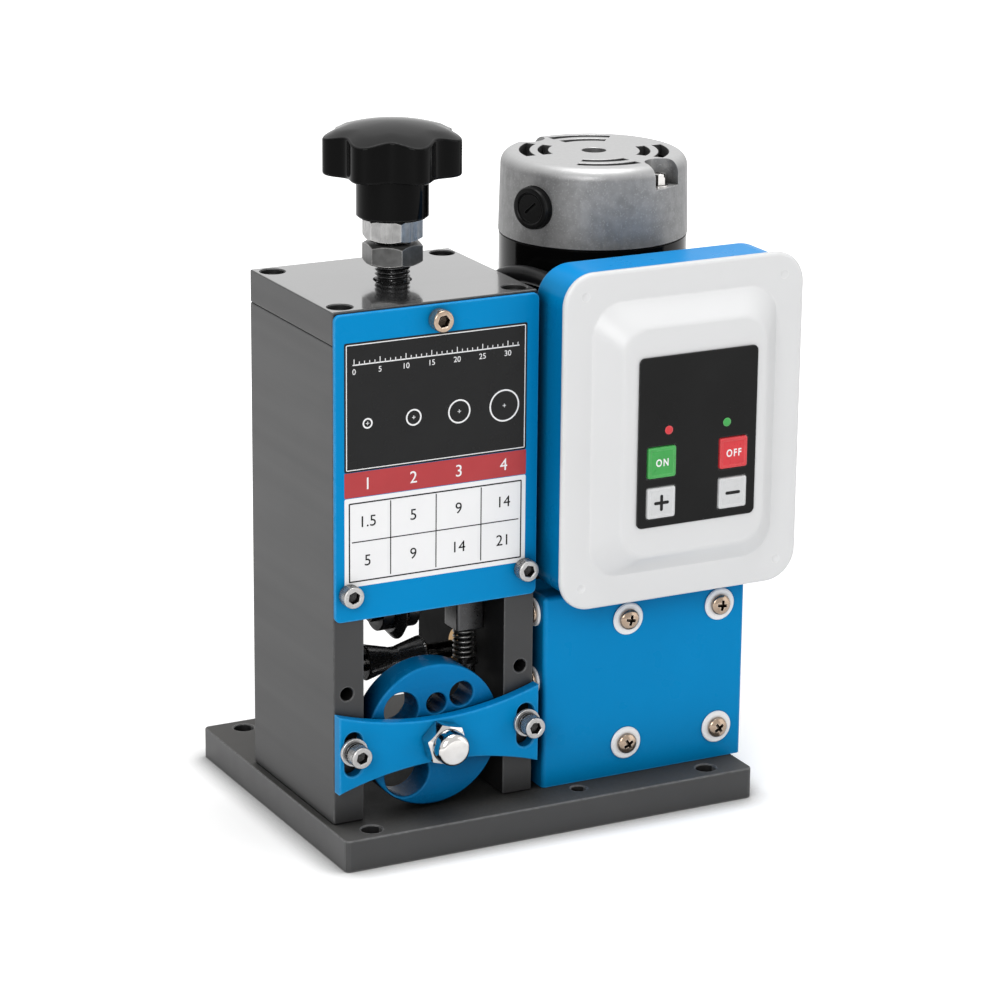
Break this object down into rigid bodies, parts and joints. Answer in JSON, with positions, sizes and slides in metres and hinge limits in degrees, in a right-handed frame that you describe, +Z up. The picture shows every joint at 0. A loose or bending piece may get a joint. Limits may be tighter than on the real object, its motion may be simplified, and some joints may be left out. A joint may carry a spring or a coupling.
{
  "type": "cable stripping machine",
  "caption": "Bench machine that pulls cable through a guide drum, over a driven grooved roller and under a height-adjustable cutter wheel, with a motor, gearbox and button box.",
  "frame": {"origin": "middle of the base plate's underside", "axes": "+X right as the operator sees it, +Y towards the back, where the stripped cable comes out, +Z up"},
  "size_m": [0.2295, 0.1739, 0.3242],
  "materials": {
    "frame_steel": "dark grey semi-gloss coated steel plate with fine grinding",
    "blue_enamel": "semi-gloss blue powder coat",
    "bright_steel": "nickel plated, bright",
    "dark_steel": "blackened steel, oiled",
    "grey_steel": "milled steel",
    "bronze": "turned bronze",
    "cast_iron": "rough cast, painted grey",
    "black_paint": "gloss black enamel",
    "cast_aluminium": "die cast, fine grain",
    "black_plastic": "gloss black moulded plastic",
    "white_plastic": "satin white moulded plastic",
    "black_film": "satin printed film",
    "green_plastic": "satin green film over a raised key",
    "red_plastic": "satin red film over a raised key",
    "circuit_board": "green solder mask",
    "black_rubber": "black cable sheath"
  },
  "bodies": {
    "root": {"base_plate": "frame_steel", "left_side_plate": "frame_steel", "right_side_plate": "frame_steel", "top_plate": "frame_steel", "top_plate_screw_1": "dark_steel", "top_plate_screw_2": "dark_steel", "top_plate_screw_3": "dark_steel", "top_plate_screw_4": "dark_steel", "front_cover": "blue_enamel", "front_cover_screw_1": "bright_steel", "front_cover_screw_2": "bright_steel", "front_cover_screw_3": "bright_steel", "bracket_screw_left": "bright_steel", "bracket_screw_right": "bright_steel", "bracket_washer_left": "bright_steel", "bracket_washer_right": "bright_steel", "guide_bolt_left": "dark_steel", "guide_bolt_right": "dark_steel", "return_spring_left": "bright_steel", "return_spring_right": "bright_steel", "shaft_bushing_left": "bronze", "shaft_bushing_right": "bronze", "gearbox_housing": "cast_iron", "motor_barrel": "black_paint", "motor_end_cap": "cast_aluminium", "brush_cap_left": "black_plastic", "brush_cap_right": "black_plastic", "gearbox_cover": "blue_enamel", "gearbox_cover_screw_1": "bright_steel", "gearbox_cover_screw_2": "bright_steel", "gearbox_cover_screw_3": "bright_steel", "gearbox_cover_screw_4": "bright_steel", "gearbox_cover_side_screw_1": "bright_steel", "gearbox_cover_side_screw_2": "bright_steel", "control_shell": "blue_enamel", "control_lid": "white_plastic", "membrane_panel": "black_film", "control_board": "circuit_board", "motor_lead": "black_rubber", "lead_gland": "black_plastic", "mains_gland": "black_plastic"},
    "guide": {"guide_bracket": "blue_enamel", "drum_pivot_bolt": "bright_steel", "drum_acorn_nut": "bright_steel"},
    "drum": {"guide_drum": "blue_enamel"},
    "carriage": {"cutter_carriage": "grey_steel", "cutter_axle": "dark_steel"},
    "cutter": {"cutter_wheel": "dark_steel"},
    "depth_screw": {"depth_knob": "black_plastic", "depth_spindle": "dark_steel", "knob_jam_nut": "bright_steel"},
    "lock_nut": {"spindle_lock_nut": "bright_steel"},
    "armature": {"motor_worm_shaft": "bright_steel"},
    "feed": {"feed_shaft": "bright_steel", "feed_roller": "dark_steel", "worm_wheel": "bronze"},
    "on_key": {"on_button": "green_plastic"},
    "off_key": {"off_button": "red_plastic"},
    "plus_key": {"plus_button": "white_plastic"},
    "minus_key": {"minus_button": "white_plastic"}
  },
  "joints": [
    {"name": "guide_height", "type": "slide", "parent": "root", "child": "guide", "axis": [0, 0, 1], "range_m": [-0.001, 0.008]},
    {"name": "drum_turn", "type": "hinge", "parent": "guide", "child": "drum", "pos_m": [-0.0515, -0.0515, 0.05], "axis": [0, 1, 0], "continuous": true},
    {"name": "carriage_height", "type": "slide", "parent": "root", "child": "carriage", "axis": [0, 0, 1], "range_m": [-0.0044, 0.012], "deforming": ["return_spring_left", "return_spring_right"]},
    {"name": "depth_screw_turn", "type": "hinge", "parent": "carriage", "child": "depth_screw", "pos_m": [-0.0515, -0.0165, 0.26], "axis": [0, 0, 1], "range_deg": [-800, 2168]},
    {"name": "lock_nut_turn", "type": "hinge", "parent": "depth_screw", "child": "lock_nut", "pos_m": [-0.0515, -0.0165, 0.2647], "axis": [0, 0, 1], "range_deg": [-1400, 280]},
    {"name": "cutter_turn", "type": "hinge", "parent": "carriage", "child": "cutter", "pos_m": [-0.0515, -0.0165, 0.099], "axis": [1, 0, 0], "continuous": true},
    {"name": "motor_turn", "type": "hinge", "parent": "root", "child": "armature", "pos_m": [0.0639, 0.0088, 0.15], "axis": [0, 0, 1], "continuous": true},
    {"name": "feed_turn", "type": "hinge", "parent": "root", "child": "feed", "pos_m": [-0.0515, -0.0165, 0.0731], "axis": [1, 0, 0], "continuous": true},
    {"name": "on_press", "type": "slide", "parent": "root", "child": "on_key", "axis": [0, 1, 0], "range_m": [0, 0.0008], "stiffness_N_per_m": 1500},
    {"name": "off_press", "type": "slide", "parent": "root", "child": "off_key", "axis": [0, 1, 0], "range_m": [0, 0.0008], "stiffness_N_per_m": 1500},
    {"name": "plus_press", "type": "slide", "parent": "root", "child": "plus_key", "axis": [0, 1, 0], "range_m": [0, 0.0008], "stiffness_N_per_m": 1500},
    {"name": "minus_press", "type": "slide", "parent": "root", "child": "minus_key", "axis": [0, 1, 0], "range_m": [0, 0.0008], "stiffness_N_per_m": 1500}
  ],
  "couplings": [
    {"joint": "depth_screw_turn", "follows": "carriage_height", "rad_per_m": 3141.6},
    {"joint": "feed_turn", "follows": "motor_turn", "ratio": -0.033333}
  ]
}
